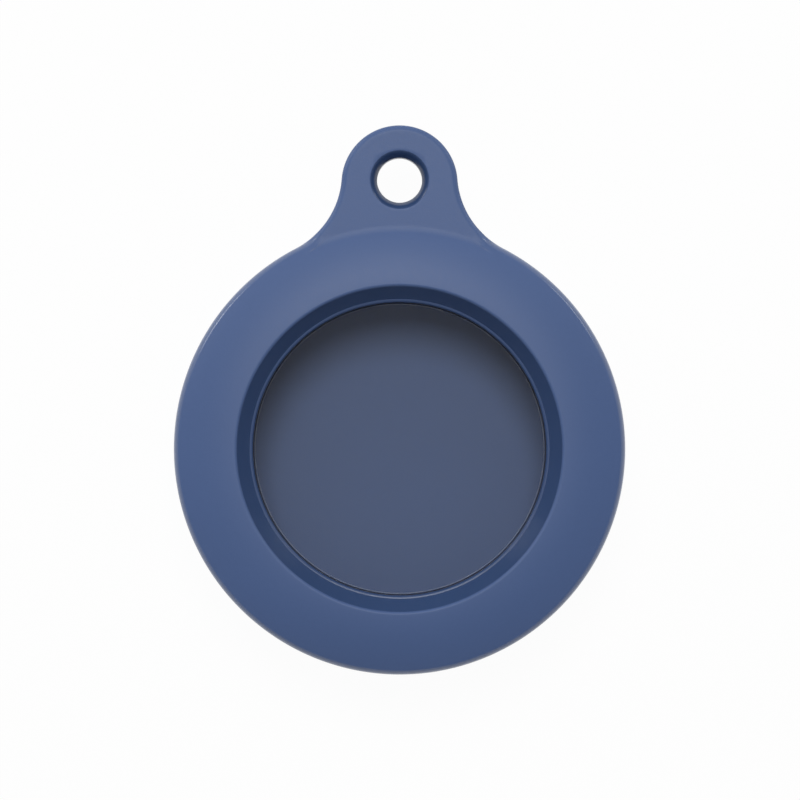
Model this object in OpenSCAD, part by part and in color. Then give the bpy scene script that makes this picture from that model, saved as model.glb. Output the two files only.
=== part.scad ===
// Holder for a coin-shaped tracker tag, with a dished window and a key loop.
// The origin is on the holder's axis at its rear face, +Z is the window side
// and the loop points along +Y.

/* [Tag] */
// Diameter of the tracker tag that the pocket holds
tag_d = 31.9; // [30:0.1:36]
// Thickness of the tracker tag
tag_h = 8; // [7:0.1:10]
// Radial room round the tag
tag_clear = 0.15; // [0.05:0.05:0.5]
// Axial play of the tag between its cushions
tag_play = 0.1; // [0.05:0.05:0.5]

/* [Window] */
// Diameter of the pane's raised centre, which shows in the window
window_d = 25.6; // [22:0.2:26.4]
// Open line between the pane's raised centre and the ledge
pane_gap = 0.18; // [0.1:0.02:0.4]
// How far the pane's face lies below the ledge
pane_sink = 0.1; // [0.05:0.05:0.4]
// Width of the pane's flange outside its raised centre
flange_w = 2.2; // [1.6:0.1:2.6]
// Thickness of the pane's flange
flange_t = 0.7; // [0.5:0.1:1.2]
// Thickness of the adhesive ring on the flange
gasket_t = 0.15; // [0.1:0.05:0.4]
// Thickness of the lip that the pane is bonded under
lip_t = 0.8; // [0.6:0.1:1.6]

/* [Dished front] */
// Width of the flat ledge round the window
ledge_w = 0.29; // [0.2:0.01:0.5]
// Radial width of the sloping wall from the ledge to the crest
dish_w = 1.17; // [0.9:0.01:1.6]
// Height of the sloping wall from the ledge to the crest
dish_h = 2; // [1.4:0.1:2.6]
// Edge radius of the crest
crest_round = 0.25; // [0.1:0.05:0.4]
// Tilt of the domed front at the crest, in degrees
crest_tilt = 4; // [2:1:8]
// Tilt of the domed front at its outer edge, in degrees
edge_tilt = 28; // [22:1:34]
// Radial width of the rounded flank outside the domed front
flank_w = 0.42; // [0.3:0.02:0.6]
// Tilt at which the flank starts, in degrees
flank_tilt = 45; // [40:1:55]

/* [Shell] */
// Wall of the shell outside the rear cover's socket
shell_wall = 1.9; // [1.7:0.1:3]
// Edge radius at the shell's rear rim
shell_edge = 0.2; // [0.1:0.05:0.4]

/* [Loop] */
// Width of the loop's round end
loop_d = 10.28; // [9:0.1:13]
// Distance of the loop's centre outside the shell's edge
loop_out = 3.49; // [3:0.1:6]
// Thickness of the loop
loop_t = 3.6; // [3:0.1:4.4]
// Edge radius of the loop
loop_round = 0.5; // [0.4:0.02:0.54]
// Plan radius of the neck between loop and shell
neck_round = 7.45; // [6:0.1:9]
// Radius of the hollow blend between the loop's face and the domed front
blend_round = 2; // [1.4:0.1:2.6]
// Tilt of the domed front where the blend leaves it, in degrees
blend_tilt = 26; // [20:1:26]
// Diameter of the hole for a split ring
hole_d = 4; // [3:0.1:5]
// How far the hole lies outside the centre of the loop's round end
hole_out = 0.31; // [0:0.01:0.6]
// Radial width of the hole's countersinks
sink_w = 0.57; // [0.3:0.01:0.7]
// Depth of the hole's countersinks
sink_h = 0.9; // [0.5:0.05:1.1]

/* [Rear cover] */
// Thickness of the cover's plate
plate_t = 1.6; // [1.2:0.1:2.4]
// Height of the cover's grip rim
rim_h = 2.6; // [2.6:0.1:4]
// Edge radius of the grip rim at the rear face
rim_round = 0.8; // [0.4:0.05:1]
// Line that stays open between the grip rim and the shell
part_gap = 0.12; // [0.08:0.02:0.3]
// Wall of the cover's skirt
skirt_wall = 1.3; // [1:0.1:1.8]
// Height of the cover's skirt above the grip rim
skirt_h = 5.4; // [5.4:0.1:6]
// Number of grip flutes round the rim
flute_count = 36; // [24:2:44]
// Radius of a grip flute
flute_r = 1.2; // [0.8:0.1:1.6]
// Depth of a grip flute
flute_h = 0.3; // [0.2:0.05:0.4]
// Distance of the finger recesses from the axis
recess_r = 11; // [9:0.5:12]
// Width of a finger recess
recess_w = 4.6; // [3:0.2:6]
// Depth of a finger recess
recess_h = 0.6; // [0.3:0.05:0.8]
// Angle that a finger recess spans between the centres of its ends
recess_arc = 64; // [40:2:90]

/* [Twist lock] */
// Number of locking lugs, and of ramps
lug_count = 4; // [3:1:4]
// Angle that a lug spans
lug_arc = 40; // [30:1:40]
// Angle that a ramp spans
ramp_arc = 44; // [34:1:44]
// Angle by which a ramp's middle is turned past its lug's
ramp_turn = 10; // [6:1:12]
// Axial thickness of a lug and of a ramp
lug_t = 1; // [0.8:0.05:1.2]
// Radial height of a lug and of a ramp
lug_h = 0.6; // [0.4:0.05:0.8]
// Height of a lug's middle above the grip rim
lug_z = 3.6; // [3.6:0.05:3.7]
// Advance of the lugs in one full turn
lead = 20; // [18:0.5:22]

/* [Seal and cushions] */
// Cord diameter of the cover's sealing ring
seal_d = 1; // [0.8:0.05:1.1]
// Thickness of the front cushion
front_pad_t = 0.3; // [0.2:0.05:0.8]
// Thickness of the rear cushion
rear_pad_t = 0.4; // [0.2:0.05:0.8]
// Radial width of both cushions
pad_w = 2; // [1.4:0.1:2.2]
// Room between a cushion's edge and the pocket's wall
pad_clear = 0.3; // [0.2:0.05:0.5]

/* [Fits] */
// Radial clearance between the cover's skirt or lugs and the shell
run_clear = 0.1; // [0.08:0.02:0.16]
// Axial clearance between a lug and its ramp
ramp_clear = 0.15; // [0.12:0.01:0.3]
// Clearance round the sealing ring
seal_clear = 0.05; // [0.03:0.01:0.1]
// Clearance round a bonded piece
bond_clear = 0.1; // [0.05:0.01:0.2]
// Clearance above the cover's skirt
skirt_clear = 0.15; // [0.1:0.05:0.4]

/* [Hidden] */
$fn = 120;

// How far cuts run past the faces that they cut
over = 1;
// How far an edge's arc swells past the faces that it rounds, so that it crosses them cleanly
swell = 0.005;
// How far the neck stands proud of the shell and of the loop's round end where it meets them
neck_step = 0.04;
// Tilt at which the space beside the neck opens out over the blend
shoulder_tilt = 12;
// Angle by which the blend crosses the domed front and the loop's face
blend_cross = 5;
// Angle at which the flank crosses the wall below it
flank_cross = 5;

// Radii from the tag outwards
pocket_r = tag_d / 2 + tag_clear;
skirt_r = pocket_r + skirt_wall;
lug_r = skirt_r + lug_h;
socket_r = lug_r + run_clear;
body_r = socket_r + shell_wall;
seal_r = skirt_r + seal_clear + seal_d / 2;
gland_r = seal_r + seal_d / 2 + seal_clear;
ramp_mean_r = (skirt_r + socket_r) / 2;

// Radii from the window outwards
window_r = window_d / 2;
ledge_in_r = window_r + pane_gap;
ledge_out_r = ledge_in_r + ledge_w;
crest_r = ledge_out_r + dish_w;
dome_out_r = body_r - flank_w;
flange_r = window_r + flange_w;

// Levels from the rear face up
skirt_z = rim_h + skirt_h;
shell_z = rim_h + part_gap;
socket_z = skirt_z + skirt_clear;
seal_z = rim_h + seal_clear + seal_d / 2;
gland_z = seal_z + seal_d / 2 + seal_clear;
lug_mid_z = rim_h + lug_z;
ramp_mid_z = lug_mid_z - lug_t - ramp_clear + lead * ramp_turn / 360;
rear_pad_z = plate_t;
tag_z = rear_pad_z + rear_pad_t;
front_pad_z = tag_z + tag_h + tag_play;
flange_z = front_pad_z + front_pad_t;
gasket_z = flange_z + flange_t;
lip_z = gasket_z + gasket_t;
ledge_z = lip_z + lip_t;
crest_z = ledge_z + dish_h;
pane_z = ledge_z - pane_sink;

// Arc of the domed front
dome_round = (dome_out_r - crest_r) / (sin(edge_tilt) - sin(crest_tilt));
dome_c = [crest_r, crest_z] - dome_round * [sin(crest_tilt), cos(crest_tilt)];
dome_out_z = dome_c[1] + dome_round * cos(edge_tilt);

// Arc of the flank, which starts at an edge and ends nearly upright
flank_round = flank_w / (cos(flank_cross) - sin(flank_tilt));
flank_c = [body_r - flank_round * cos(flank_cross), dome_out_z - flank_round * cos(flank_tilt)];

// Rounded crest: its centre is as far inside the sloping wall as inside the dome
slope = [dish_w, dish_h] / norm([dish_w, dish_h]);
inward = [slope[1], -slope[0]];
crest_from = [ledge_out_r, ledge_z] + crest_round * inward - dome_c;
crest_along = -crest_from * slope
    + sqrt(pow(crest_from * slope, 2) - crest_from * crest_from + pow(dome_round - crest_round, 2));
crest_c = dome_c + crest_from + crest_along * slope;

// Hollow blend from the domed front to the loop's face
blend_start = dome_c + dome_round * [sin(blend_tilt), cos(blend_tilt)];
blend_c = blend_start + blend_round * [sin(blend_tilt - blend_cross), cos(blend_tilt - blend_cross)];
loop_z = blend_c[1] - blend_round * cos(blend_cross);
loop_rear_z = loop_z - loop_t;

// Plan of the loop
loop_r = loop_d / 2;
loop_y = body_r + loop_out;
hole_r = hole_d / 2;
hole_y = loop_y + hole_out;
neck_far = body_r + neck_round + neck_step;
neck_near = loop_r + neck_round + neck_step;
neck_y = (pow(neck_far, 2) - pow(neck_near, 2) + pow(loop_y, 2)) / (2 * loop_y);
neck_x = sqrt(pow(neck_far, 2) - pow(neck_y, 2));
neck_body = [neck_x, neck_y] * body_r / neck_far;
neck_loop = [0, loop_y] + [neck_x, neck_y - loop_y] * loop_r / neck_near;

// Vertical slope of lugs and ramps
lead_angle = atan(lead / (2 * PI * ramp_mean_r));

// A flat ring between two radii and two heights
module ring(r_in, r_out, z_low, z_high) {
    translate([0, 0, z_low])
        difference() {
            cylinder(r = r_out, h = z_high - z_low);
            translate([0, 0, -over]) cylinder(r = r_in, h = z_high - z_low + 2 * over);
        }
}

// Half section of a disc whose two outer edges are rounded
module disc_section(r, z_low, z_high, round_low, round_high) {
    intersection() {
        translate([0, z_low]) square([r, z_high - z_low]);
        union() {
            translate([0, z_low]) square([r - max(round_low, round_high), z_high - z_low]);
            translate([0, z_low + round_low]) square([r, z_high - z_low - round_low - round_high]);
            translate([r - round_low, z_low + round_low]) circle(r = round_low + swell);
            translate([r - round_high, z_high - round_high]) circle(r = round_high + swell);
            translate([0, z_low + round_low]) square([r - round_high, z_high - z_low]);
        }
    }
}

// Outer half section of the shell, before it is hollowed
module shell_section() {
    intersection() {
        translate(dome_c) circle(r = dome_round, $fn = 360);
        translate([0, shell_z]) square([body_r, crest_z]);
        union() {
            polygon([[0, shell_z], [body_r - shell_edge, shell_z],
                [body_r + over, shell_z + shell_edge + over], [body_r + over, flank_c[1]], [0, flank_c[1]]]);
            translate(flank_c) circle(r = flank_round);
            translate([0, shell_z]) square([(flank_c[0] + dome_out_r) / 2, crest_z]);
        }
    }
}

// The shell's half section with its rounded crest and sloping wall
module crest_section() {
    slope_end = [ledge_out_r, ledge_z] + slope * (dish_h + over);
    touch_slope = crest_c - crest_round * inward;
    touch_dome = dome_c + (crest_c - dome_c) * dome_round / (dome_round - crest_round);
    tip = crest_c + ([crest_r, crest_z] - crest_c) * 2;
    difference() {
        shell_section();
        polygon([[0, ledge_z], [ledge_out_r, ledge_z], slope_end, [0, crest_z + over]]);
        polygon([crest_c, touch_slope, tip, touch_dome]);
    }
    translate(crest_c) circle(r = crest_round + swell);
}

// Space inside the shell, from the rear rim to the window
module shell_hollow() {
    translate([0, 0, shell_z - over]) cylinder(r = gland_r, h = gland_z - shell_z + over);
    translate([0, 0, shell_z]) cylinder(r = socket_r, h = socket_z - shell_z);
    translate([0, 0, shell_z]) cylinder(r = pocket_r, h = flange_z - shell_z);
    translate([0, 0, shell_z]) cylinder(r = flange_r + bond_clear, h = lip_z - shell_z);
    translate([0, 0, shell_z]) cylinder(r = ledge_in_r, h = crest_z - shell_z + over);
}

// Part of a ring that rises along the twist, cut from a ring by a tilted slab
module ramp(r_in, r_out, arc, mid_z) {
    intersection() {
        rotate([0, 0, -arc / 2])
            rotate_extrude(angle = arc)
                translate([r_in, mid_z - lead / 4]) square([r_out - r_in, lead / 2]);
        translate([ramp_mean_r, 0, mid_z])
            rotate([lead_angle, 0, 0])
                cube([ramp_mean_r, 2 * ramp_mean_r, lug_t * cos(lead_angle)], center = true);
    }
}

// Section of the space beside the neck: it widens over the loop's rounded edges,
// and above them it opens out over the shoulder, where the blend ends
module neck_section() {
    edge_r = neck_round + loop_round;
    high_z = loop_z - loop_round;
    low_z = loop_rear_z + loop_round;
    shoulder = [edge_r, high_z] + (loop_round + swell) * [-sin(shoulder_tilt), cos(shoulder_tilt)];
    shoulder_end = shoulder + blend_round * [cos(shoulder_tilt), sin(shoulder_tilt)];
    difference() {
        translate([0, loop_rear_z - over]) square([edge_r, shoulder[1] - loop_rear_z + over]);
        intersection() {
            translate([neck_round, loop_rear_z - over]) square([edge_r, loop_t + 2 * over]);
            union() {
                translate([edge_r, high_z]) circle(r = loop_round + swell);
                translate([edge_r, low_z]) circle(r = loop_round + swell);
                translate([neck_round, low_z]) square([edge_r, high_z - low_z]);
            }
        }
    }
    polygon([[0, shoulder[1]], shoulder, shoulder_end, [0, shoulder_end[1]]]);
}

// Section below the loop's face and the blend that joins it to the domed front
module loop_section() {
    blend_out_r = blend_c[0] - blend_round * sin(blend_cross);
    reach = loop_y + loop_r;
    difference() {
        translate([pocket_r, loop_rear_z]) square([reach, blend_start[1] - loop_rear_z]);
        translate(blend_c) circle(r = blend_round);
        translate([blend_out_r, loop_z]) square([reach, blend_start[1]]);
    }
}

// Neck between the shell and the loop's round end
module neck() {
    difference() {
        intersection() {
            linear_extrude(height = crest_z)
                polygon([[0, body_r / 2], neck_body, neck_loop, [0, loop_y],
                    [-neck_loop[0], neck_loop[1]], [-neck_body[0], neck_body[1]]]);
            rotate_extrude() loop_section();
        }
        for (side = [-1, 1])
            translate([side * neck_x, neck_y, 0])
                rotate_extrude() neck_section();
    }
}

// Round end of the loop, with rounded edges
module loop_end() {
    translate([0, loop_y, 0])
        rotate_extrude() disc_section(loop_r, loop_rear_z, loop_z, loop_round, loop_round);
}

// Hole for the split ring, countersunk on both faces
module loop_hole() {
    translate([0, hole_y, 0]) {
        translate([0, 0, loop_rear_z - over]) cylinder(r = hole_r, h = loop_t + 2 * over);
        translate([0, 0, loop_z - sink_h]) cylinder(r1 = hole_r, r2 = hole_r + sink_w, h = sink_h);
        translate([0, 0, loop_z]) cylinder(r = hole_r + sink_w, h = over);
        translate([0, 0, loop_rear_z]) cylinder(r1 = hole_r + sink_w, r2 = hole_r, h = sink_h);
        translate([0, 0, loop_rear_z - over]) cylinder(r = hole_r + sink_w, h = over);
    }
}

module front_shell() {
    color([0.33, 0.39, 0.53]) {
        difference() {
            union() {
                rotate_extrude() crest_section();
                neck();
                loop_end();
            }
            shell_hollow();
            loop_hole();
        }
        for (i = [0 : lug_count - 1])
            rotate([0, 0, 360 / lug_count * i + ramp_turn])
                ramp(skirt_r + run_clear, socket_r + shell_wall / 2, ramp_arc, ramp_mid_z);
    }
}

module window_pane() {
    color([0.78, 0.8, 0.83, 0.35]) {
        translate([0, 0, flange_z]) cylinder(r = flange_r, h = flange_t);
        translate([0, 0, flange_z]) cylinder(r = window_r, h = pane_z - flange_z);
    }
}

module window_gasket() {
    color([0.08, 0.08, 0.09])
        ring(window_r + bond_clear, flange_r, gasket_z, lip_z);
}

module front_cushion() {
    color([0.12, 0.12, 0.13])
        ring(pocket_r - pad_clear - pad_w, pocket_r - pad_clear, front_pad_z, flange_z);
}

// One kidney-shaped recess for a fingertip, with round ends
module finger_recess() {
    translate([0, 0, -over]) {
        rotate([0, 0, -recess_arc / 2])
            rotate_extrude(angle = recess_arc)
                translate([recess_r - recess_w / 2, 0]) square([recess_w, recess_h + over]);
        for (end = [-1, 1])
            rotate([0, 0, end * recess_arc / 2])
                translate([recess_r, 0, 0]) cylinder(r = recess_w / 2, h = recess_h + over);
    }
}

// Half section of the cover's plate and grip rim
module rim_section() {
    difference() {
        disc_section(body_r, 0, rim_h, rim_round, shell_edge);
        translate([-over, plate_t]) square([pocket_r + over, rim_h]);
    }
}

module rear_cover() {
    color([0.33, 0.39, 0.53]) {
        difference() {
            rotate_extrude() rim_section();
            for (i = [0 : flute_count - 1])
                rotate([0, 0, 360 / flute_count * i])
                    translate([body_r + flute_r - flute_h, 0, -over])
                        cylinder(r = flute_r, h = rim_h + 2 * over);
            for (side = [0, 180])
                rotate([0, 0, side]) finger_recess();
        }
        ring(pocket_r, skirt_r, plate_t, skirt_z);
        for (i = [0 : lug_count - 1])
            rotate([0, 0, 360 / lug_count * i])
                ramp(skirt_r - skirt_wall / 2, lug_r, lug_arc, lug_mid_z);
    }
}

module rear_cushion() {
    color([0.12, 0.12, 0.13])
        ring(pocket_r - pad_clear - pad_w, pocket_r - pad_clear, rear_pad_z, tag_z);
}

module cover_seal() {
    color([0.1, 0.1, 0.11])
        rotate_extrude()
            translate([seal_r, seal_z]) circle(r = seal_d / 2);
}

front_shell();
window_pane();
window_gasket();
front_cushion();
rear_cover();
rear_cushion();
cover_seal();
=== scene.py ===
import math

import bmesh
import bpy
from bpy.props import FloatProperty, FloatVectorProperty, IntProperty, PointerProperty
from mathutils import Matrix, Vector, noise


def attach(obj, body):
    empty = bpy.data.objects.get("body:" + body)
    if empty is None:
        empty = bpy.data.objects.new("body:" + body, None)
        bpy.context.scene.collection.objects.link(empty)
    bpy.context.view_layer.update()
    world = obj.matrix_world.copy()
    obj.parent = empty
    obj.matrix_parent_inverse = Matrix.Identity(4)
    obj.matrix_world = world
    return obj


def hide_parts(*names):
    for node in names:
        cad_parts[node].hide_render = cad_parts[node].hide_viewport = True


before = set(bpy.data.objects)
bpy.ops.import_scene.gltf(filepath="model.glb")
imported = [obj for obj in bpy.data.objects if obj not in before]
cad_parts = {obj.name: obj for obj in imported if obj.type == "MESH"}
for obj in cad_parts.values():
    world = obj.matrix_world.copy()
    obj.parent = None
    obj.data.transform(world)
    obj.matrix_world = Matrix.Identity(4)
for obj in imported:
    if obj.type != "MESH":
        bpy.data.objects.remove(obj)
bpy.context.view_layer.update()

bl_info = {
    "name": "Tracker Tag Holder",
    "version": (1, 0, 0),
    "blender": (4, 5, 0),
    "location": "View3D > Sidebar > Tag Holder",
    "description": "Makes the visible pieces, finishes and stage of a round tracker tag holder",
    "category": "Object",
}

MM = 0.001
# Distance in metres at which vertices are merged, and the angle in degrees past which an edge is sharp
WELD, SHARP = 1e-7, 35.0

# Radii of the holder in millimetres, from the outside in
BODY_R = 20.0
GLAND_R = 18.5
SOCKET_R = 18.1
LUG_R = 18.0
SEAL_R, SEAL_WIRE = 17.95, 0.5
SKIRT_R = 17.4
POCKET_R = 16.1
PAD_OUT_R, PAD_IN_R = 15.8, 13.8
SEAT_R = 15.1
FLANGE_R = 15.0
CREST_R = 14.44
LEDGE_OUT_R, LEDGE_IN_R = 13.27, 12.98
GASKET_IN_R = 12.9
WINDOW_R = 12.8

# Levels of the holder in millimetres, from the rear face up
PLATE_Z = 1.6
TAG_Z = 2.0
RIM_Z = 2.6
SHELL_Z = 2.72
SEAL_Z = 3.15
GLAND_Z = 3.7
RAMP_Z = 5.6056
LUG_Z = 6.2
SKIRT_Z = 8.0
SOCKET_Z = 8.15
PAD_Z = 10.1
FLANGE_Z = 10.4
GASKET_Z = 11.1
LIP_Z = 11.25
PANE_Z = 11.95
LEDGE_Z = 12.05
CREST_Z = 14.05

# Radii of the rounded edges in millimetres
RIM_ROUND = 0.8
SEAM_ROUND = 0.2
SKIRT_ROUND = 0.2
CREST_ROUND = 0.25
LEDGE_ROUND = 0.25
LUG_ROUND = 0.15

# The domed front's arc, and where its flank starts
DOME_R = 12.857
DOME_C = (13.543, 1.224)
FLANK_R = 19.58
FLANK_TILT = 45.0

# The blend between the domed front and the loop's face
BLEND_R = 2.0
BLEND_C = (19.897, 14.647)
BLEND_FROM, BLEND_TO = 19.18, 19.72

# The loop
LOOP_Z = 12.6547
LOOP_REAR_Z = 9.0547
LOOP_R = 5.14
LOOP_Y = 23.49
NECK_R = 7.45
HOLE_R = 2.0
HOLE_Y = 23.8
SINK_W, SINK_H = 0.57, 0.9
# Half the height of the shell's rows that become the loop's underside
UNDER_BAND = 0.06

# The twist lock
LUG_COUNT = 4
LUG_ARC, RAMP_ARC, RAMP_TURN = 40.0, 44.0, 10.0
LUG_T = 1.0
LEAD = 20.0
# Degrees of lead-in at both ends of a lug or ramp, and how much thinner it is there
LEAD_IN, THINNING = 3.0, 0.3
# Where ramps and lugs end within the wall that carries them, and where the ramps end on the inside
RAMP_ROOT_R, RAMP_IN_R = 19.05, 17.5
LUG_ROOT_R = 16.75
FLUTE_R, FLUTE_DEPTH = 1.2, 0.3
RECESS_R, RECESS_W, RECESS_DEPTH, RECESS_ARC = 11.0, 4.6, 0.6, 64.0

# Distance of the lamps from the holder's rear face, in metres
LAMP_DISTANCE = 0.6

# Columns round the shell and the cover, round the plain rings and round the loop's hole
COLUMNS, RING_COLUMNS, HOLE_COLUMNS = 540, 360, 144
# Half the angle of the loop's share of the shell's columns
LOOP_SHARE = math.radians(82.0 / 3.0)
# Where the loop's fan of rows starts and ends on the domed front, and how far out its middle row lies
FAN_IN_R, FAN_OUT_R = 18.9, 19.0
FAN_MIDDLE = 0.95
# How far the outline stands off the body where its form is fully the loop's
LOOP_GROWN = 0.55
# The share of the underside's rows that lie in its flat, before its rounded edge
FLAT_SHARE = 0.3


class TagHolderSizes(bpy.types.PropertyGroup):
    """Small sizes that only the visible pieces have"""

    loop_edge: FloatProperty(
        name="Loop Edge", description="Radius of the loop's edges",
        default=0.55 * MM, min=0.3 * MM, max=0.8 * MM, unit="LENGTH")
    corner: FloatProperty(
        name="Corner", description="Radius of the moulded inner corners",
        default=0.08 * MM, min=0.02 * MM, max=0.15 * MM, unit="LENGTH")
    pane_edge: FloatProperty(
        name="Pane Edge", description="Radius of the pane's satin edge",
        default=0.1 * MM, min=0.02 * MM, max=0.2 * MM, unit="LENGTH")
    recess_fillet: FloatProperty(
        name="Recess Fillet", description="Radius round the floor of the finger recesses",
        default=0.45 * MM, min=0.1 * MM, max=0.55 * MM, unit="LENGTH")
    foam_crown: FloatProperty(
        name="Foam Crown", description="How far a foam ring's edges lie below its middle",
        default=0.07 * MM, min=0.0, max=0.1 * MM, unit="LENGTH")
    seal_flash: FloatProperty(
        name="Seal Flash", description="Height of the parting line on the sealing ring",
        default=0.02 * MM, min=0.0, max=0.05 * MM, unit="LENGTH")
    flutes: IntProperty(
        name="Flutes", description="Number of grip flutes round the cover", default=36, min=24, max=44)


class TagHolderColours(bpy.types.PropertyGroup):
    """Colours of the holder's finishes"""

    plastic: FloatVectorProperty(
        name="Shell Plastic", description="Slate blue of the moulded shell and cover",
        subtype="COLOR", size=3, default=(0.07, 0.119, 0.268), min=0.0, max=1.0)
    # A darker blue painted on the dish's sloping wall, its ledge and the loop's countersinks as their shade
    dish_shade: FloatVectorProperty(
        name="Painted Dish Shade", description="Darker blue painted as shade in the dish and the loop's hole",
        subtype="COLOR", size=3, default=(0.033, 0.067, 0.168), min=0.0, max=1.0)
    smoke: FloatVectorProperty(
        name="Pane Smoke", description="Colour that light keeps on its way through one face of the pane",
        subtype="COLOR", size=3, default=(0.93, 0.935, 0.94), min=0.0, max=1.0)
    adhesive: FloatVectorProperty(
        name="Adhesive", description="Black of the bonding ring",
        subtype="COLOR", size=3, default=(0.012, 0.012, 0.014), min=0.0, max=1.0)
    foam: FloatVectorProperty(
        name="Foam", description="Charcoal of the foam rings",
        subtype="COLOR", size=3, default=(0.03, 0.03, 0.034), min=0.0, max=1.0)
    rubber: FloatVectorProperty(
        name="Seal Rubber", description="Black of the sealing ring",
        subtype="COLOR", size=3, default=(0.016, 0.016, 0.018), min=0.0, max=1.0)
    floor: FloatVectorProperty(
        name="Floor", description="Colour of the studio floor",
        subtype="COLOR", size=3, default=(0.95, 0.95, 0.95), min=0.0, max=1.0)


def smooth(low, high, value):
    """Share from 0 to 1 of a value between two others, level at both ends."""
    share = min(max((value - low) / (high - low), 0.0), 1.0)
    return share * share * (3.0 - 2.0 * share)


def arc(centre, radius, first, last, steps):
    """Points on an arc of a section, with its angles in degrees from outwards to upwards."""
    angles = [math.radians(first + (last - first) * i / steps) for i in range(steps + 1)]
    return [(centre[0] + radius * math.cos(a), centre[1] + radius * math.sin(a)) for a in angles]


def rounded(corners, steps=4):
    """A section's outline through corners (r, z, radius), each rounded by its radius."""
    points = []
    count = len(corners)
    for i, (r, z, radius) in enumerate(corners):
        here = Vector((r, z))
        if radius <= 0.0:
            points.append((r, z))
            continue
        back = (Vector(corners[i - 1][:2]) - here).normalized()
        ahead = (Vector(corners[(i + 1) % count][:2]) - here).normalized()
        half = back.angle(ahead) / 2.0
        centre = here + (back + ahead).normalized() * radius / math.sin(half)
        start = (here + back * radius / math.tan(half) - centre).normalized()
        end = (here + ahead * radius / math.tan(half) - centre).normalized()
        for k in range(steps + 1):
            spoke = centre + radius * start.slerp(end, k / steps)
            points.append((spoke.x, spoke.y))
    return points


def turned(section, columns, closed=True):
    """A mesh turned once round the holder's axis, whose vertices know their row of the section."""
    bm = bmesh.new()
    row = bm.verts.layers.int.new("row")
    chain = []
    for i, (r, z) in enumerate(section):
        vert = bm.verts.new((r * MM, 0.0, z * MM))
        vert[row] = i
        chain.append(vert)
    edges = [bm.edges.new(pair) for pair in zip(chain, chain[1:])]
    if closed:
        edges.append(bm.edges.new((chain[-1], chain[0])))
    bmesh.ops.spin(
        bm, geom=chain + edges, cent=(0.0, 0.0, 0.0), axis=(0.0, 0.0, 1.0),
        angle=math.tau, steps=columns, use_merge=True)
    bmesh.ops.remove_doubles(bm, verts=bm.verts, dist=WELD)
    bmesh.ops.recalc_face_normals(bm, faces=bm.faces)
    return bm


def mark_sharp(bm):
    """Makes a mesh smooth but for the edges that bend by more than SHARP degrees."""
    for face in bm.faces:
        face.smooth = True
    for edge in bm.edges:
        edge.smooth = not (len(edge.link_faces) == 2 and edge.calc_face_angle(0.0) > math.radians(SHARP))


def piece(bm, name, finish=None):
    """An object with a mesh, smooth but for its sharp edges."""
    mark_sharp(bm)
    mesh = bpy.data.meshes.new(name)
    bm.to_mesh(mesh)
    bm.free()
    made = bpy.data.objects.new(name, mesh)
    bpy.context.scene.collection.objects.link(made)
    if finish is not None:
        mesh.materials.append(finish)
    return made


def join_solids(target, solids, operation):
    """Adds solids to a piece, or cuts them out, and keeps the result as the piece's own mesh."""
    mesh = bpy.data.meshes.new("solids")
    gathered = bmesh.new()
    for solid in solids:
        solid.to_mesh(mesh)
        solid.free()
        gathered.from_mesh(mesh)
    bpy.data.meshes.remove(mesh)
    tool = piece(gathered, "solids")
    step = target.modifiers.new("solid", "BOOLEAN")
    step.operation = operation
    step.solver = "EXACT"
    step.object = tool
    bpy.context.view_layer.update()
    result = bpy.data.meshes.new_from_object(target.evaluated_get(bpy.context.evaluated_depsgraph_get()))
    target.modifiers.clear()
    target.data = result
    used = tool.data
    bpy.data.objects.remove(tool)
    bpy.data.meshes.remove(used)


def finish_edges(target):
    """Marks the sharp edges of a piece that was cut, and weighs its normals by area."""
    bm = bmesh.new()
    bm.from_mesh(target.data)
    bmesh.ops.remove_doubles(bm, verts=bm.verts, dist=2.0 * WELD)
    mark_sharp(bm)
    bm.to_mesh(target.data)
    bm.free()
    weigh = target.modifiers.new("weighted normals", "WEIGHTED_NORMAL")
    weigh.keep_sharp = True
    weigh.weight = 50


def dome_z(r):
    """Height of the domed front at a radius."""
    return DOME_C[1] + math.sqrt(DOME_R ** 2 - (r - DOME_C[0]) ** 2)


def flank():
    """Radius and height of the arc that takes the domed front down to the shell's side."""
    tilt = math.radians(FLANK_TILT)
    radius = (BODY_R - FLANK_R) / (1.0 - math.sin(tilt))
    return radius, dome_z(FLANK_R) - radius * math.cos(tilt)


def face_z(r):
    """Height of the dome, the blend or the loop's face at a radius."""
    if r <= BLEND_FROM:
        return dome_z(r)
    if r >= BLEND_TO:
        return LOOP_Z
    return BLEND_C[1] - math.sqrt(BLEND_R ** 2 - (BLEND_C[0] - r) ** 2)


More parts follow.
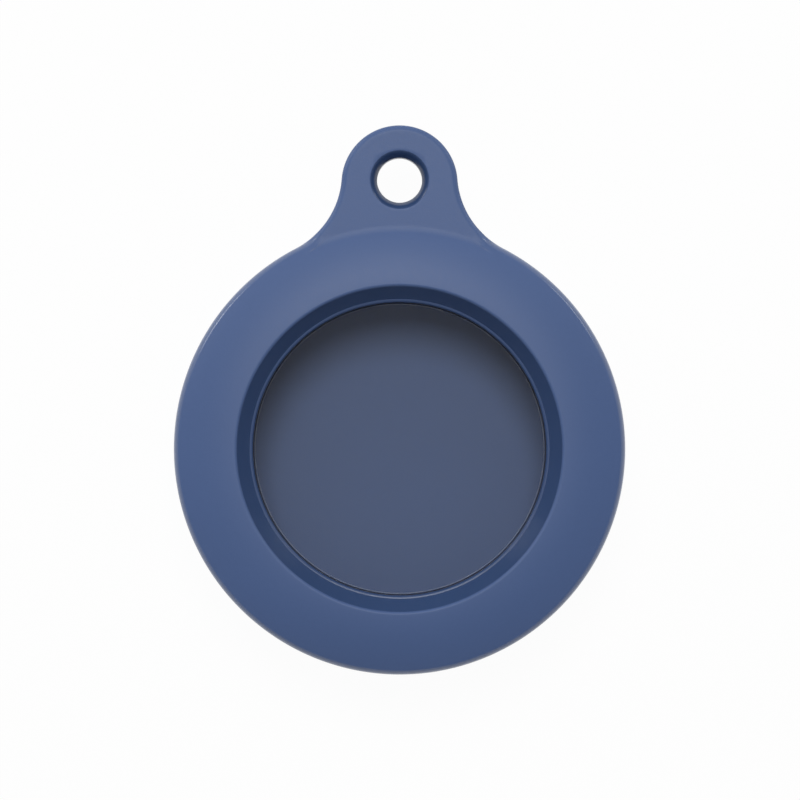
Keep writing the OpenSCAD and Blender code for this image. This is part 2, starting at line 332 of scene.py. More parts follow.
def loop_outline():
    """The loop's outline as a function of the share, from -1 to 1, of its way across the loop."""
    body_far, loop_far = BODY_R + NECK_R, LOOP_R + NECK_R
    neck_y = (body_far ** 2 - loop_far ** 2 + LOOP_Y ** 2) / (2.0 * LOOP_Y)
    neck_x = math.sqrt(body_far ** 2 - neck_y ** 2)
    body_angle = math.atan2(neck_x, neck_y)
    loop_angle = math.atan2(neck_x, neck_y - LOOP_Y)
    turn_start = math.atan2(LOOP_Y - neck_y, -neck_x) % math.tau
    turn_end = math.atan2(-neck_y, -neck_x) % math.tau
    loop_len = LOOP_R * loop_angle
    neck_len = NECK_R * (turn_end - turn_start)
    whole = loop_len + neck_len + BODY_R * (LOOP_SHARE - body_angle)

    def at(share):
        way = abs(share) * whole
        side = 1.0 if share >= 0.0 else -1.0
        if way <= loop_len:
            angle = way / LOOP_R
            out = Vector((math.sin(angle), math.cos(angle)))
            point = Vector((0.0, LOOP_Y)) + LOOP_R * out
        elif way <= loop_len + neck_len:
            angle = turn_start + (way - loop_len) / NECK_R
            out = -Vector((math.cos(angle), math.sin(angle)))
            point = Vector((neck_x, neck_y)) - NECK_R * out
        else:
            angle = body_angle + (way - loop_len - neck_len) / BODY_R
            out = Vector((math.sin(angle), math.cos(angle)))
            point = BODY_R * out
        return Vector((side * point.x, point.y)), Vector((side * out.x, out.y))

    return at


def shell_rows(corner):
    """The shell's section as rows of (r, z, kind, share), from its rear rim outwards and up."""
    seam = arc((BODY_R - SEAM_ROUND, SHELL_Z + SEAM_ROUND), SEAM_ROUND, -90.0, 0.0, 5)
    rows = [(r, z, "keep", 0.0) for r, z in seam]
    rows += [(BODY_R, z, "keep", 0.0) for z in (4.5, 6.5, 8.3)]
    under = 12
    for i in range(under + 1):
        rows.append((BODY_R, LOOP_REAR_Z + UNDER_BAND * (2.0 * i / under - 1.0), "under", i / under))
    flank_arc, flank_z = flank()
    flank_c = (BODY_R - flank_arc, flank_z)
    foot = LOOP_REAR_Z + UNDER_BAND
    for share in (0.2, 0.4, 0.6, 0.8, 0.95):
        rows.append((BODY_R, foot + (flank_c[1] - foot) * share, "side", share))
    for r, z in arc(flank_c, flank_arc, 0.0, 90.0 - FLANK_TILT, 12):
        rows.append((r, z, "band", BODY_R - r))
    for r in (19.5, 19.4, 19.3, 19.2, 19.1):
        rows.append((r, dome_z(r), "band", BODY_R - r))
    fan = 34
    for i in range(fan + 1):
        r = FAN_OUT_R + (FAN_IN_R - FAN_OUT_R) * i / fan
        rows.append((r, dome_z(r), "fan", 1.0 - i / fan))
    rows += [(r, dome_z(r), "keep", 0.0) for r in
             (18.7, 18.4, 18.0, 17.6, 17.2, 16.8, 16.4, 16.0, 15.6, 15.2, 14.9)]
    rows += [(r, z, "keep", 0.0) for r, z in crest_points()]
    inside = [
        (LEDGE_OUT_R, LEDGE_Z, 0.03), (LEDGE_IN_R, LEDGE_Z, LEDGE_ROUND), (LEDGE_IN_R, LIP_Z, 0.04),
        (SEAT_R, LIP_Z, corner), (SEAT_R, FLANGE_Z, corner),
        (POCKET_R, FLANGE_Z, corner), (POCKET_R, SOCKET_Z, corner), (SOCKET_R, SOCKET_Z, corner),
        (SOCKET_R, GLAND_Z, corner), (GLAND_R, GLAND_Z, corner), (GLAND_R, SHELL_Z, corner)]
    # The first corner only gives the sloping wall its direction
    wall = [(CREST_R, CREST_Z, 0.0)] + inside + [(19.0, SHELL_Z, 0.0)]
    rows += [(r, z, "keep", 0.0) for r, z in rounded(wall, 5)[1:]]
    return rows


def crest_points():
    """The crest's arc, which touches the dome and the sloping wall."""
    slope = Vector((CREST_R - LEDGE_OUT_R, CREST_Z - LEDGE_Z)).normalized()
    inward = Vector((slope.y, -slope.x))
    base = Vector((LEDGE_OUT_R, LEDGE_Z)) + CREST_ROUND * inward - Vector(DOME_C)
    reach = DOME_R - CREST_ROUND
    along = -base.dot(slope) + math.sqrt(base.dot(slope) ** 2 - base.dot(base) + reach ** 2)
    centre = Vector(DOME_C) + base + along * slope
    first = math.degrees(math.atan2(centre.y - DOME_C[1], centre.x - DOME_C[0]))
    last = math.degrees(math.atan2(-inward.y, -inward.x)) % 360.0
    return arc(centre, CREST_ROUND, first, last, 12)


def pull_out_loop(bm, rows, edge):
    """Moves the shell's columns within the loop's share out to the loop's outline."""
    row = bm.verts.layers.int["row"]
    outline = loop_outline()
    for vert in bm.verts:
        turn = math.atan2(vert.co.x, vert.co.y)
        r, z, kind, share = rows[vert[row]]
        if kind == "keep" or abs(turn) > LOOP_SHARE - 1e-4:
            continue
        point, out = outline(turn / LOOP_SHARE)
        body = Vector((math.sin(turn), math.cos(turn)))
        reach = point.length - BODY_R
        loopness = smooth(0.0, LOOP_GROWN, reach)
        if kind == "fan":
            start = FAN_IN_R * body
            way = point - (BODY_R - FAN_OUT_R) * out - start
            bend = 2.0 * math.log(max(way.length / FAN_MIDDLE - 1.0, 1.0001))
            flat = start + way * math.expm1(bend * share) / math.expm1(bend)
            height = face_z(flat.length)
        elif kind == "band":
            flat = point - share * out
            drop = edge - math.sqrt(max(edge ** 2 - max(edge - share, 0.0) ** 2, 0.0))
            height = z + (face_z(flat.length) - drop - z) * loopness
        elif kind == "side":
            flat = point
            foot = LOOP_REAR_Z + UNDER_BAND + (edge - UNDER_BAND) * loopness
            head = side_head(edge, loopness)
            height = foot + (head - foot) * share
        else:
            flat, height = under_point(point, out, body, reach, share, min(edge, 0.9 * reach))
        vert.co = (flat.x * MM, flat.y * MM, height * MM)


def side_head(edge, loopness):
    """Height where the loop's side meets its rounded upper edge."""
    plain = flank()[1]
    return plain + (LOOP_Z - edge - plain) * loopness


def under_point(point, out, body, reach, share, radius):
    """A point of the loop's underside or of its rounded lower edge."""
    if share <= 0.0:
        return BODY_R * body, LOOP_REAR_Z
    if share < FLAT_SHARE:
        inner = point - radius * out
        return BODY_R * body + (inner - BODY_R * body) * share / FLAT_SHARE, LOOP_REAR_Z
    angle = (share - FLAT_SHARE) / (1.0 - FLAT_SHARE) * math.pi / 2.0
    return (point - radius * (1.0 - math.sin(angle)) * out,
            LOOP_REAR_Z + radius * (1.0 - math.cos(angle)))


def helical(r_in, r_out, span, turn, middle, thickness, out_round, in_round):
    """A lug or ramp: a block that rises along the twist, thinner at its lead-in ends."""
    half = thickness / 2.0
    section = rounded([
        (r_in, -half, in_round), (r_out, -half, out_round), (r_out, half, out_round), (r_in, half, in_round)])
    bm = bmesh.new()
    first = math.radians(turn - span / 2.0)
    rise = LEAD * span / 360.0
    steps = int(span)
    chain = []
    for r, z in section:
        chain.append(bm.verts.new((
            r * MM * math.cos(first), r * MM * math.sin(first), (middle - rise / 2.0 + z) * MM)))
    edges = [bm.edges.new(pair) for pair in zip(chain, chain[1:] + chain[:1])]
    bmesh.ops.spin(
        bm, geom=chain + edges, cent=(0.0, 0.0, 0.0), axis=(0.0, 0.0, 1.0),
        angle=math.radians(span), steps=steps, dvec=(0.0, 0.0, rise * MM / steps))
    bmesh.ops.remove_doubles(bm, verts=bm.verts, dist=WELD)
    bmesh.ops.holes_fill(bm, edges=[e for e in bm.edges if e.is_boundary], sides=0)
    bmesh.ops.recalc_face_normals(bm, faces=bm.faces)
    for vert in bm.verts:
        angle = math.degrees(math.atan2(vert.co.y, vert.co.x)) - turn
        angle = (angle + 180.0) % 360.0 - 180.0
        level = middle + LEAD * angle / 360.0
        near_end = smooth(span / 2.0 - LEAD_IN, span / 2.0, abs(angle))
        vert.co.z = (level + (vert.co.z / MM - level) * (1.0 - THINNING * near_end)) * MM
    return bm


def hole_cutter():
    """The loop's hole with its two countersinks, whose rims are softened."""
    soft = 0.05
    rim_r = HOLE_R + SINK_W
    middle = (LOOP_Z + LOOP_REAR_Z) / 2.0
    cone = math.atan2(SINK_W, SINK_H)
    upper = [
        (HOLE_R, middle), (HOLE_R, LOOP_Z - SINK_H),
        (rim_r - soft * math.sin(cone), LOOP_Z - soft * math.cos(cone)),
        (rim_r + 0.4 * soft, LOOP_Z - 0.3 * soft), (rim_r + 1.4 * soft, LOOP_Z + 0.06 * soft),
        (rim_r + 1.6 * soft, LOOP_Z + 1.0)]
    lower = [(r, 2.0 * middle - z) for r, z in reversed(upper[1:])]
    section = [(0.0, lower[0][1])] + lower + upper + [(0.0, upper[-1][1])]
    bm = turned(section, HOLE_COLUMNS, closed=False)
    bmesh.ops.translate(bm, verts=bm.verts, vec=(0.0, HOLE_Y * MM, 0.0))
    return bm


def recess_cutter(side, fillet):
    """A kidney-shaped finger recess with round ends and a filleted floor."""
    half = RECESS_W / 2.0
    wall = arc((half - fillet, RECESS_DEPTH - fillet), fillet, 90.0, 0.0, 8)
    # A soft rim, and from there straight out of the rear face
    profile = [(0.0, RECESS_DEPTH)] + wall + [
        (half, 0.09), (half + 0.03, 0.03), (half + 0.1, -0.004), (half + 0.1, -1.0)]
    bm = bmesh.new()
    start = math.radians(side - RECESS_ARC / 2.0)
    spoke = Vector((math.cos(start), math.sin(start), 0.0))
    across = [(-x, z) for x, z in reversed(profile[1:])] + profile
    chain = [bm.verts.new(spoke * (RECESS_R + x) * MM + Vector((0.0, 0.0, z * MM))) for x, z in across]
    edges = [bm.edges.new(pair) for pair in zip(chain, chain[1:])]
    bmesh.ops.spin(
        bm, geom=chain + edges, cent=(0.0, 0.0, 0.0), axis=(0.0, 0.0, 1.0),
        angle=math.radians(RECESS_ARC), steps=96)
    for end in (-1.0, 1.0):
        turn = math.radians(side + end * RECESS_ARC / 2.0)
        spoke = Vector((math.cos(turn), math.sin(turn), 0.0))
        chain = [bm.verts.new(spoke * (RECESS_R + x) * MM + Vector((0.0, 0.0, z * MM))) for x, z in profile]
        edges = [bm.edges.new(pair) for pair in zip(chain, chain[1:])]
        bmesh.ops.spin(
            bm, geom=chain + edges, cent=spoke * RECESS_R * MM, axis=(0.0, 0.0, end),
            angle=math.pi, steps=40)
    bmesh.ops.remove_doubles(bm, verts=bm.verts, dist=WELD)
    bmesh.ops.holes_fill(bm, edges=[e for e in bm.edges if e.is_boundary], sides=0)
    bmesh.ops.recalc_face_normals(bm, faces=bm.faces)
    return bm


def cut_flutes(bm, count):
    """Presses the grip flutes into the cover's rim, with soft lips between them."""
    pitch = math.tau / count
    far = BODY_R + FLUTE_R - FLUTE_DEPTH
    soft = 0.04
    sag = (math.hypot(FLUTE_DEPTH, soft) - FLUTE_DEPTH) / 2.0
    for vert in bm.verts:
        r = math.hypot(vert.co.x, vert.co.y) / MM
        if r < BODY_R - 2.0 * FLUTE_DEPTH or vert.co.z > (RIM_Z + 0.01) * MM:
            continue
        turn = math.atan2(vert.co.y, vert.co.x)
        off = turn - round(turn / pitch) * pitch
        inside = FLUTE_R ** 2 - (far * math.sin(off)) ** 2
        if inside <= 0.0:
            continue
        floor = far * math.cos(off) - math.sqrt(inside)
        new = min(r, (r + floor - math.hypot(r - floor, soft)) / 2.0 + sag)
        vert.co.x *= new / r
        vert.co.y *= new / r


class Signal:
    """A node's output in a finish, where arithmetic adds Math nodes."""

    def __init__(self, finish, output):
        self.finish = finish
        self.output = output

    def math(self, operation, first, second):
        return self.finish.node("ShaderNodeMath", {0: first, 1: second}, operation=operation)

    def above(self, level):
        return self.math("GREATER_THAN", self, level)

    def below(self, level):
        return self.math("LESS_THAN", self, level)

    def __add__(self, other):
        return self.math("ADD", self, other)

    def __radd__(self, other):
        return self.math("ADD", other, self)

    def __sub__(self, other):
        return self.math("SUBTRACT", self, other)

    def __rsub__(self, other):
        return self.math("SUBTRACT", other, self)

    def __mul__(self, other):
        return self.math("MULTIPLY", self, other)

    def __rmul__(self, other):
        return self.math("MULTIPLY", other, self)


class Nodes:
    """A node tree that is built from nothing."""

    def __init__(self, tree):
        self.tree = tree
        tree.nodes.clear()

    def node(self, kind, values=None, output=0, **settings):
        """Adds a node with its settings and the values or links of its sockets."""
        made = self.tree.nodes.new(kind)
        for name, value in settings.items():
            setattr(made, name, value)
        for key, value in (values or {}).items():
            if isinstance(value, Signal):
                self.tree.links.new(value.output, made.inputs[key])
            else:
                made.inputs[key].default_value = value
        return Signal(self, made.outputs[output])

    def close(self, kind, shader):
        """Ends the tree with its output node."""
        self.tree.links.new(shader.output, self.tree.nodes.new(kind).inputs["Surface"])

    def seen(self):
        """1 for rays that come from the eye, straight, mirrored or through the pane, else 0."""
        rays = [self.node("ShaderNodeLightPath", output=name)
                for name in ("Is Camera Ray", "Is Glossy Ray", "Is Transmission Ray")]
        return rays[0].math("MAXIMUM", rays[0].math("MAXIMUM", rays[0], rays[1]), rays[2])


class Finish(Nodes):
    """A material that is built from nodes."""

    def __init__(self, name):
        self.material = bpy.data.materials.new(name)
        self.material.use_nodes = True
        super().__init__(self.material.node_tree)

    def place(self):
        """The object's own coordinates, in metres."""
        return self.node("ShaderNodeTexCoord", output="Object")

    def from_axis(self, axis=(0.0, 0.0, 0.0)):
        """Distance from the holder's axis, or from one beside it."""
        flat = self.node("ShaderNodeVectorMath", {0: self.place(), 1: (1.0, 1.0, 0.0)}, operation="MULTIPLY")
        return self.node("ShaderNodeVectorMath", {0: flat, 1: axis}, output="Value", operation="DISTANCE")

    def grain(self, scale, detail=2.0, roughness=0.5):
        """Noise of the given number of features in a metre, from 0 to 1."""
        return self.node("ShaderNodeTexNoise", {
            "Vector": self.place(), "Scale": scale, "Detail": detail, "Roughness": roughness})

    def shade(self, colour, low, high, factor):
        """A colour that varies between two shares of its brightness."""
        dark = (*[c * low for c in colour], 1.0)
        light = (*[min(c * high, 1.0) for c in colour], 1.0)
        return self.mix(factor, dark, light)

    def mix(self, factor, first, second):
        """A colour between two others."""
        return self.node("ShaderNodeMix", {0: factor, 6: first, 7: second}, output=2, data_type="RGBA")

    def bump(self, height, depth, strength=1.0):
        """A normal that follows a height, whose full range is the depth in metres."""
        return self.node("ShaderNodeBump", {"Height": height, "Distance": depth, "Strength": strength})

    def surface(self, shader):
        """Ends the material with its shader."""
        self.close("ShaderNodeOutputMaterial", shader)
        return self.material


def plastic_finish(colour, dish_shade):
    """Matte moulded plastic with a fine spark-eroded texture, polished in the dish and in the loop's hole,
    where a darker blue is also painted on as shade.
    """
    f = Finish("shell plastic")
    cloud = f.grain(70.0, 3.0)
    fleck = f.grain(2600.0, 2.0, 0.6)
    spark = f.grain(5200.0, 3.0, 0.65)
    height = f.node("ShaderNodeSeparateXYZ", {0: f.place()}, output="Z")
    from_axis = f.from_axis()
    from_hole = f.from_axis((0.0, HOLE_Y * MM, 0.0))
    # Each of these is 1 in its own zone and 0 elsewhere
    dish = from_axis.below((CREST_R - 0.12) * MM) * height.above((LIP_Z + 0.2) * MM)
    # The dish and the loop's hole are polished, which lowers their roughness, and they also take the painted
    # shade colour
    polish_and_painted_shade = dish.math("MAXIMUM", dish, from_hole.below((HOLE_R + SINK_W + 0.02) * MM))
    textured = 1.0 - polish_and_painted_shade
    rubbed = from_axis.above((FLANK_R - 0.01) * MM) * height.above((LOOP_Z - 1.2) * MM) * (
        from_axis.below((BODY_R + 0.02) * MM)) * height.below((LOOP_Z - 0.05) * MM)
    inside = from_axis.below((POCKET_R + 0.05) * MM) * height.above(1.0 * MM) * height.below(FLANGE_Z * MM)
    shader = f.node("ShaderNodeBsdfPrincipled", {
        # Base colour: the darker blue in the dish and the loop's hole is painted shade
        "Base Color": f.mix(polish_and_painted_shade, f.shade(colour, 0.92, 1.08, 0.6 * cloud + 0.4 * fleck), (*dish_shade, 1.0)),
        "Roughness": 0.28 + (textured - 0.7 * rubbed) * (0.11 + 0.13 * fleck + 0.05 * cloud),
        "Normal": f.bump(spark * (textured - inside), 0.012 * MM, 0.7),
        "Coat Weight": 0.45 * rubbed, "Coat Roughness": 0.16,
        "IOR": 1.5, "Specular IOR Level": 0.32})
    return f.surface(shader)


def pane_finish(smoke):
    """Clear polished plastic, lightly smoked, with a faint reflection and a satin edge."""
    f = Finish("clear pane")
    clear = f.node("ShaderNodeBsdfTransparent", {"Color": (*smoke, 1.0)})
    wipe = f.grain(180.0, 4.0, 0.6)
    rim = f.from_axis().above((WINDOW_R - 0.1) * MM)
    gloss = f.node("ShaderNodeBsdfGlossy", {
        "Color": (1.0, 1.0, 1.0, 1.0), "Roughness": 0.03 + 0.05 * wipe + 0.5 * rim})
    # A Fresnel node would mirror slanting light inside the pane, as these rays aren't bent
    straight, slanting, steepness = 0.012, 0.6, 5.0
    facing = f.node("ShaderNodeLayerWeight", output="Facing")
    mirrored = straight + slanting * facing.math("POWER", facing, steepness)
    return f.surface(f.node("ShaderNodeMixShader", {0: mirrored, 1: clear, 2: gloss}))


def adhesive_finish(colour):
    """Matte black die-cut adhesive."""
    f = Finish("adhesive")
    pores = f.grain(3000.0, 3.0, 0.6)
    shader = f.node("ShaderNodeBsdfPrincipled", {
        "Base Color": f.shade(colour, 0.7, 1.5, pores),
        "Roughness": 0.62 + 0.25 * pores,
        "Normal": f.bump(pores, 0.02 * MM, 0.6)})
    return f.surface(shader)


def foam_finish(colour):
    """Closed-cell foam, cut so that its cells show."""
    f = Finish("foam")
    cells = f.node("ShaderNodeTexVoronoi", {"Vector": f.place(), "Scale": 5200.0}, feature="F1")
    cloud = f.grain(500.0, 3.0)
    shader = f.node("ShaderNodeBsdfPrincipled", {
        "Base Color": f.shade(colour, 0.55, 1.7, cells * 0.7 + cloud * 0.3),
        "Roughness": 0.8 + 0.18 * cloud,
        "Normal": f.bump(1.0 - cells, 0.04 * MM, 0.8),
        "Sheen Weight": 0.15, "Sheen Roughness": 0.6})
    return f.surface(shader)


def rubber_finish(colour):
    """Satin sealing rubber with a thin film of grease."""
    f = Finish("seal rubber")
    film = f.grain(420.0, 3.0)
    skin = f.grain(6000.0, 2.0)
    shader = f.node("ShaderNodeBsdfPrincipled", {
        "Base Color": f.shade(colour, 0.8, 1.3, film),
        "Roughness": 0.3 + 0.2 * film,
        "Normal": f.bump(skin, 0.006 * MM, 0.5),
        "Coat Weight": 0.25 * film, "Coat Roughness": 0.25})
    return f.surface(shader)


def floor_finish(colour):
    """Studio floor that is white to the eye and still takes the holder's shadow."""
    f = Finish("studio floor")
    lit = f.node("ShaderNodeBsdfDiffuse", {"Color": (*colour, 1.0)})
    glow = f.node("ShaderNodeEmission", {"Color": (1.0, 1.0, 1.0, 1.0), "Strength": 1.0})
    return f.surface(f.node("ShaderNodeMixShader", {0: f.seen() * 0.965, 1: lit, 2: glow}))


def sky(strength):
    """A world that is white to the eye and lights the holder softly."""
    world = bpy.data.worlds.new("studio")
    world.use_nodes = True
    air = Nodes(world.node_tree)
    soft = air.node("ShaderNodeBackground", {"Color": (1.0, 1.0, 1.0, 1.0), "Strength": strength})
    white = air.node("ShaderNodeBackground", {"Color": (1.0, 1.0, 1.0, 1.0), "Strength": 1.0})
    air.close("ShaderNodeOutputWorld", air.node("ShaderNodeMixShader", {0: air.seen(), 1: soft, 2: white}))
    bpy.context.scene.world = world


def softbox(name, azimuth, elevation, size, power, glossy=True):
    """A round area lamp that looks at the holder from an azimuth, clockwise from the loop's side."""
    lamp = bpy.data.lights.new(name, "AREA")
    lamp.shape = "DISK"
    lamp.size = size
    lamp.energy = power
    made = bpy.data.objects.new(name, lamp)
    made.visible_glossy = glossy
    bpy.context.scene.collection.objects.link(made)
    turn, lift = math.radians(azimuth), math.radians(elevation)
    way = Vector((math.sin(turn) * math.cos(lift), math.cos(turn) * math.cos(lift), math.sin(lift)))
    made.location = way * LAMP_DISTANCE
    made.rotation_euler = way.to_track_quat("Z", "Y").to_euler()


def finish_for(slot):
    """The material of a slot, made once."""
    colours = bpy.context.scene.tag_holder_colours
    makers = {
        "shell_plastic": ("shell plastic", lambda: plastic_finish(colours.plastic, colours.dish_shade)),
        "clear_pane": ("clear pane", lambda: pane_finish(colours.smoke)),
        "adhesive": ("adhesive", lambda: adhesive_finish(colours.adhesive)),
        "foam": ("foam", lambda: foam_finish(colours.foam)),
        "seal_rubber": ("seal rubber", lambda: rubber_finish(colours.rubber)),
    }
    name, make = makers[slot]
    return bpy.data.materials.get(name) or make()


def stands_for(made, node, body, slot):
    """Lets a piece take a solid's place, body and finish."""
    if not made.data.materials:
        made.data.materials.append(finish_for(slot))
    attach(made, body)
    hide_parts(node)


class TAGHOLDER_OT_front_shell(bpy.types.Operator):
    """Moulded front with its dome, dished window and key loop in one piece"""

    bl_idname = "tag_holder.front_shell"
    bl_label = "Front Shell"

    def execute(self, context):
        sizes = context.scene.tag_holder_sizes
        rows = shell_rows(sizes.corner / MM)
        bm = turned([(r, z) for r, z, kind, share in rows], COLUMNS)
        pull_out_loop(bm, rows, sizes.loop_edge / MM)
        made = piece(bm, "shell")
        join_solids(made, [hole_cutter()], "DIFFERENCE")
        join_solids(made, [
            helical(RAMP_IN_R, RAMP_ROOT_R, RAMP_ARC, 360.0 / LUG_COUNT * i + RAMP_TURN,
                    RAMP_Z, LUG_T, 0.0, LUG_ROUND)
            for i in range(LUG_COUNT)], "UNION")
        finish_edges(made)
        stands_for(made, "front_shell", "holder", "shell_plastic")
        return {"FINISHED"}


class TAGHOLDER_OT_window_pane(bpy.types.Operator):
    """Clear pane with its flange and its raised, polished centre"""

    bl_idname = "tag_holder.window_pane"
    bl_label = "Window Pane"

    def execute(self, context):
        edge = context.scene.tag_holder_sizes.pane_edge / MM
        section = rounded([
            (0.0, FLANGE_Z, 0.0), (FLANGE_R, FLANGE_Z, 0.06), (FLANGE_R, GASKET_Z, 0.06),
            (WINDOW_R, GASKET_Z, 0.05), (WINDOW_R, PANE_Z, edge), (0.0, PANE_Z, 0.0)], 5)
        made = piece(turned(section, RING_COLUMNS, closed=False), "pane")
        finish_edges(made)
        stands_for(made, "window_pane", "holder", "clear_pane")
        return {"FINISHED"}


class TAGHOLDER_OT_window_gasket(bpy.types.Operator):
    """Die-cut adhesive ring between the pane's flange and the lip"""

    bl_idname = "tag_holder.window_gasket"
    bl_label = "Window Gasket"

    def execute(self, context):
        section = rounded([
            (GASKET_IN_R, GASKET_Z, 0.03), (FLANGE_R, GASKET_Z, 0.03),
            (FLANGE_R, LIP_Z, 0.05), (GASKET_IN_R, LIP_Z, 0.05)])
        made = piece(turned(section, RING_COLUMNS), "gasket")
        finish_edges(made)
        stands_for(made, "window_gasket", "holder", "adhesive")
        return {"FINISHED"}


class TAGHOLDER_OT_cushions(bpy.types.Operator):
    """Foam rings on both sides of the tag"""

    bl_idname = "tag_holder.cushions"
    bl_label = "Cushions"

    LUMPS_IN_A_METRE = 900.0
    LUMP_DEPTH = 0.012 * MM
    DRAW_IN = 0.002

    def ring(self, name, low, high, glued_low, crown):
        """A foam ring that is flat where it is glued and crowned where the tag rests."""
        glued, free = (low, high) if glued_low else (high, low)
        sign = 1.0 if glued_low else -1.0
        middle = (PAD_IN_R + PAD_OUT_R) / 2.0
        half = (PAD_OUT_R - PAD_IN_R) / 2.0
        section = [(PAD_IN_R + 0.02, glued), (PAD_OUT_R - 0.02, glued)]
        for i in range(17):
            across = math.cos(math.pi * i / 16)
            level = free - sign * crown * (0.35 * across ** 2 + 0.65 * across ** 8)
            section.append((middle + half * across, level))
        bm = turned(section, RING_COLUMNS)
        for vert in bm.verts:
            share = abs(vert.co.z / MM - glued) / (high - low)
            lump = abs(noise.noise(Vector(vert.co) * self.LUMPS_IN_A_METRE)) * share
            outside = math.hypot(vert.co.x, vert.co.y) / MM > middle
            draw = self.DRAW_IN * lump * share * (1.0 if outside else -1.0)
            vert.co.z -= sign * lump * self.LUMP_DEPTH
            vert.co.x *= 1.0 - draw
            vert.co.y *= 1.0 - draw
        return piece(bm, name)

    def execute(self, context):
        crown = context.scene.tag_holder_sizes.foam_crown / MM
        front = self.ring("front-foam", PAD_Z, FLANGE_Z, False, crown)
        stands_for(front, "front_cushion", "holder", "foam")
        rear = self.ring("rear-foam", PLATE_Z, TAG_Z, True, crown)
        stands_for(rear, "rear_cushion", "cover", "foam")
        return {"FINISHED"}


class TAGHOLDER_OT_rear_cover(bpy.types.Operator):
    """Twist-off cover with grip flutes, finger recesses, skirt and locking lugs"""

    bl_idname = "tag_holder.rear_cover"
    bl_label = "Rear Cover"

    def execute(self, context):
        sizes = context.scene.tag_holder_sizes
        rim = arc((BODY_R - RIM_ROUND, RIM_ROUND), RIM_ROUND, -90.0, 0.0, 14)
        wall = [(BODY_R, z) for z in (1.1, 1.4, 1.7, 2.0, 2.2)]
        lip = arc((BODY_R - SEAM_ROUND, RIM_Z - SEAM_ROUND), SEAM_ROUND, 0.0, 90.0, 6)
        floor = [(r, 0.0) for r in (0.0, 4.0, 8.0, 12.0, 15.0, 17.5)]
        top = [(r, RIM_Z) for r in (19.6, 19.3, 18.5)]
        skirt = rounded([
            (18.0, RIM_Z, 0.0), (SKIRT_R, RIM_Z, 0.04), (SKIRT_R, SKIRT_Z, SKIRT_ROUND),
            (POCKET_R, SKIRT_Z, SKIRT_ROUND), (POCKET_R, PLATE_Z, SKIRT_ROUND), (0.0, PLATE_Z, 0.0)])[1:]
        bm = turned(floor + rim + wall + lip + top + skirt, COLUMNS, closed=False)
        cut_flutes(bm, sizes.flutes)
        made = piece(bm, "cover")
        fillet = sizes.recess_fillet / MM
        join_solids(made, [recess_cutter(side, fillet) for side in (0.0, 180.0)], "DIFFERENCE")
        join_solids(made, [
            helical(LUG_ROOT_R, LUG_R, LUG_ARC, 360.0 / LUG_COUNT * i, LUG_Z, LUG_T, LUG_ROUND, 0.0)
            for i in range(LUG_COUNT)], "UNION")
        finish_edges(made)
        stands_for(made, "rear_cover", "cover", "shell_plastic")
        return {"FINISHED"}


class TAGHOLDER_OT_cover_seal(bpy.types.Operator):
    """Rubber sealing ring with a fine parting line"""

    bl_idname = "tag_holder.cover_seal"
    bl_label = "Cover Seal"

    def execute(self, context):
        flash = context.scene.tag_holder_sizes.seal_flash / MM
        section = []
        steps, ridge_width = 48, 0.06
        for i in range(steps):
            angle = math.tau * i / steps
            ridge = math.exp(-(math.sin(angle) / ridge_width) ** 2)
            radius = SEAL_WIRE - flash + flash * ridge
            section.append((SEAL_R + radius * math.cos(angle), SEAL_Z + radius * math.sin(angle)))
        made = piece(turned(section, RING_COLUMNS), "seal-ring")
        stands_for(made, "cover_seal", "seal", "seal_rubber")
        return {"FINISHED"}


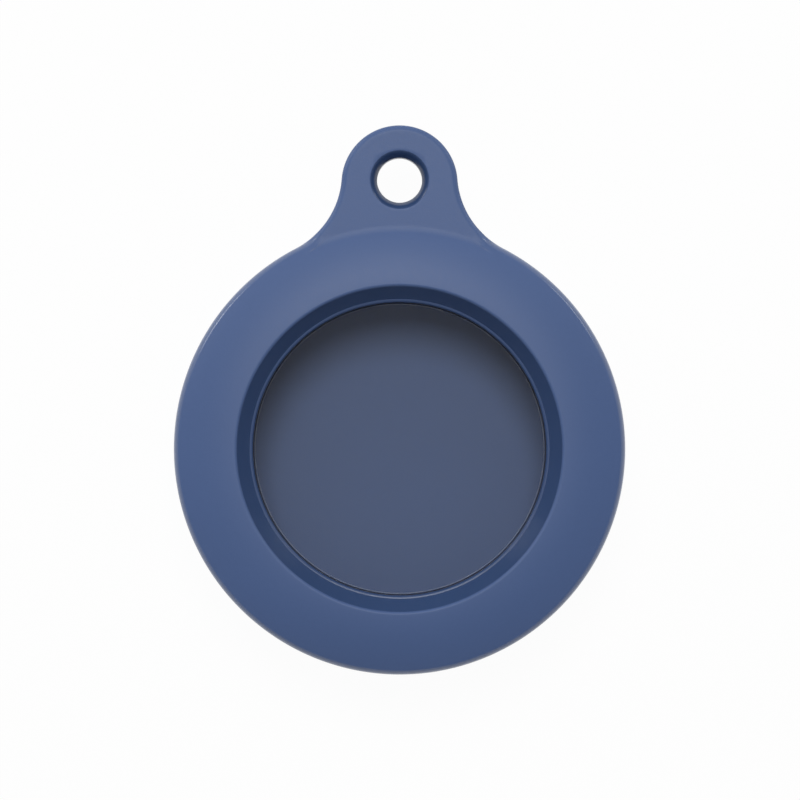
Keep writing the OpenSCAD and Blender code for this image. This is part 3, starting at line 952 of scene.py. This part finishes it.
class TAGHOLDER_OT_stage(bpy.types.Operator):
    """Plain floor, soft studio light and the camera above the holder"""

    bl_idname = "tag_holder.stage"
    bl_label = "Stage"

    def execute(self, context):
        scene = context.scene
        bm = bmesh.new()
        bmesh.ops.create_circle(bm, cap_ends=True, segments=64, radius=1.5)
        bmesh.ops.translate(bm, verts=bm.verts, vec=(0.0, 0.0, -0.02 * MM))
        floor = piece(bm, "floor", floor_finish(scene.tag_holder_colours.floor))
        # The floor stays under the cover when that comes down off the shell
        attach(floor, "seal")
        sky(0.09)
        softbox("top light", -5.0, 72.0, 0.24, 1.72)
        softbox("high light", -5.0, 50.0, 0.5, 0.5, glossy=False)
        softbox("left light", -55.0, 10.0, 0.2, 0.95)
        softbox("right light", 52.0, 10.0, 0.2, 0.6)
        softbox("front light", 180.0, 25.0, 0.4, 0.3, glossy=False)
        # The photograph's framing, from straight above
        lens = bpy.data.cameras.new("camera")
        lens.sensor_width = 36.0
        lens.lens = 173.9
        lens.clip_start = 0.01
        lens.clip_end = 10.0
        camera = bpy.data.objects.new("camera", lens)
        scene.collection.objects.link(camera)
        camera.location = (0.00004, 0.00433, 0.354)
        scene.camera = camera
        scene.view_settings.view_transform = "Standard"
        return {"FINISHED"}


class TAGHOLDER_PT_pieces(bpy.types.Panel):
    """The holder's pieces, sizes and colours"""

    bl_idname = "TAGHOLDER_PT_pieces"
    bl_label = "Tag Holder"
    bl_space_type = "VIEW_3D"
    bl_region_type = "UI"
    bl_category = "Tag Holder"

    def draw(self, context):
        layout = self.layout
        for name in (
                "loop_edge", "corner", "pane_edge", "recess_fillet", "foam_crown", "seal_flash", "flutes"):
            layout.prop(context.scene.tag_holder_sizes, name)
        for name in ("plastic", "dish_shade", "smoke", "adhesive", "foam", "rubber", "floor"):
            layout.prop(context.scene.tag_holder_colours, name)
        for operator in OPERATORS:
            layout.operator(operator.bl_idname)


OPERATORS = (
    TAGHOLDER_OT_stage,
    TAGHOLDER_OT_front_shell,
    TAGHOLDER_OT_window_pane,
    TAGHOLDER_OT_window_gasket,
    TAGHOLDER_OT_cushions,
    TAGHOLDER_OT_rear_cover,
    TAGHOLDER_OT_cover_seal,
)
CLASSES = (TagHolderSizes, TagHolderColours) + OPERATORS + (TAGHOLDER_PT_pieces,)


def register():
    for cls in CLASSES:
        bpy.utils.register_class(cls)
    bpy.types.Scene.tag_holder_sizes = PointerProperty(type=TagHolderSizes)
    bpy.types.Scene.tag_holder_colours = PointerProperty(type=TagHolderColours)


def unregister():
    del bpy.types.Scene.tag_holder_colours
    del bpy.types.Scene.tag_holder_sizes
    for cls in reversed(CLASSES):
        bpy.utils.unregister_class(cls)


def main():
    register()
    bpy.ops.tag_holder.stage()
    bpy.ops.tag_holder.front_shell()
    bpy.ops.tag_holder.window_pane()
    bpy.ops.tag_holder.window_gasket()
    bpy.ops.tag_holder.cushions()
    bpy.ops.tag_holder.rear_cover()
    bpy.ops.tag_holder.cover_seal()


if __name__ == "__main__":
    main()
